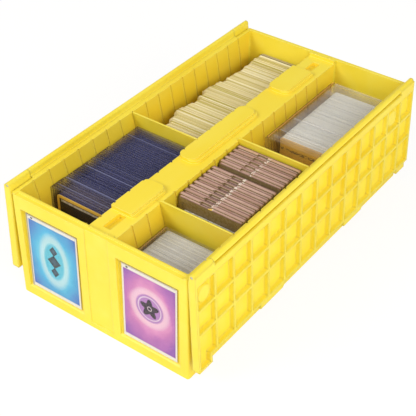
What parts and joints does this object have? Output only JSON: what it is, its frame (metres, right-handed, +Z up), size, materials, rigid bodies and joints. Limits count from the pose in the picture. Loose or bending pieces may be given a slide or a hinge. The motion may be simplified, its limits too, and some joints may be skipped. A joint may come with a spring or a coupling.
{
  "type": "trading card storage bin",
  "caption": "Two-row plastic card bin with a centre beam, hinged lid flaps, slanted partitions, display windows and filled card rows.",
  "frame": {"origin": "centre of the footprint at the height of the flat bottom, with the lid flaps hanging open", "axes": "+Z up; -Y faces the display windows, the front; +X to the right seen from the front"},
  "size_m": [0.2328, 0.394, 0.1314],
  "materials": {
    "bin_plastic": "satin moulded yellow plastic",
    "flap_plastic": "satin moulded yellow plastic",
    "partition_plastic": "satin moulded yellow plastic",
    "rod_steel": "drawn steel wire",
    "clear_film": "soft clear sleeve film",
    "clear_holder": "rigid clear vinyl sheet",
    "clear_case": "rigid clear acrylic",
    "display_card_left": "printed card, blue, glossy",
    "display_card_right": "printed card, purple, glossy",
    "navy_cards": "dark blue card edges",
    "pale_cards": "grey-white card edges",
    "cream_cards": "cream card edges",
    "dark_card": "dark card in a sleeve"
  },
  "bodies": {
    "bin": {"tub": "bin_plastic", "hinge_rod_left": "rod_steel", "hinge_rod_right": "rod_steel"},
    "lid_left": {"flap_left": "flap_plastic"},
    "lid_right": {"flap_right": "flap_plastic"},
    "divider_left": {"partition_left": "partition_plastic"},
    "divider_right_front": {"partition_right_front": "partition_plastic"},
    "divider_right_rear": {"partition_right_rear": "partition_plastic"},
    "display_left": {"display_left_sleeve": "clear_film", "display_left_card": "display_card_left"},
    "display_right": {"display_right_sleeve": "clear_film", "display_right_card": "display_card_right"},
    "left_stack": {"left_holders": "clear_holder", "left_cards": "navy_cards"},
    "raw_stack": {"raw_cards": "cream_cards"},
    "sleeved_stack": {"sleeved_sleeves": "clear_film", "sleeved_cards": "pale_cards"},
    "case_stack": {"card_case_01": "clear_case", "card_case_02": "clear_case", "card_case_03": "clear_case", "card_case_04": "clear_case", "card_case_05": "clear_case", "card_case_06": "clear_case", "card_case_07": "clear_case", "card_case_08": "clear_case", "card_case_09": "clear_case", "card_case_10": "clear_case", "card_case_11": "clear_case", "card_case_12": "clear_case", "card_case_13": "clear_case", "card_case_14": "clear_case"},
    "loose_card": {"loose_card": "dark_card"},
    "rear_stack": {"rear_holders": "clear_holder", "rear_cards": "pale_cards"}
  },
  "joints": [
    {"name": "lid_left_hinge", "type": "hinge", "parent": "bin", "child": "lid_left", "pos_m": [-0.1081, 0, 0.1286], "axis": [0, -1, 0], "range_deg": [-267.7, 2.3]},
    {"name": "lid_right_hinge", "type": "hinge", "parent": "bin", "child": "lid_right", "pos_m": [0.1081, 0, 0.1286], "axis": [0, 1, 0], "range_deg": [-267.7, 2.3]},
    {"name": "divider_left_slide", "type": "slide", "parent": "bin", "child": "divider_left", "axis": [0, -0.1908, 0.9816], "range_m": [0, 0.26]},
    {"name": "divider_right_front_slide", "type": "slide", "parent": "bin", "child": "divider_right_front", "axis": [0, -0.1908, 0.9816], "range_m": [0, 0.26]},
    {"name": "divider_right_rear_slide", "type": "slide", "parent": "bin", "child": "divider_right_rear", "axis": [0, -0.1908, 0.9816], "range_m": [0, 0.26]},
    {"name": "display_left_slide", "type": "slide", "parent": "bin", "child": "display_left", "axis": [0, -1, 0], "range_m": [0, 0.03]},
    {"name": "display_right_slide", "type": "slide", "parent": "bin", "child": "display_right", "axis": [0, -1, 0], "range_m": [0, 0.03]},
    {"name": "left_stack_lift", "type": "slide", "parent": "bin", "child": "left_stack", "axis": [0, -0.1908, 0.9816], "range_m": [0, 0.12]},
    {"name": "raw_stack_lift", "type": "slide", "parent": "bin", "child": "raw_stack", "axis": [0, 0, 1], "range_m": [0, 0.12]},
    {"name": "sleeved_stack_lift", "type": "slide", "parent": "bin", "child": "sleeved_stack", "axis": [0, 0, 1], "range_m": [0, 0.12]},
    {"name": "case_stack_lift", "type": "slide", "parent": "bin", "child": "case_stack", "axis": [0, 0, 1], "range_m": [0, 0.12]},
    {"name": "loose_card_lift", "type": "slide", "parent": "bin", "child": "loose_card", "axis": [0, 0, 1], "range_m": [0, 0.12]},
    {"name": "rear_stack_lift", "type": "slide", "parent": "bin", "child": "rear_stack", "axis": [0, 0, 1], "range_m": [0, 0.12]}
  ]
}
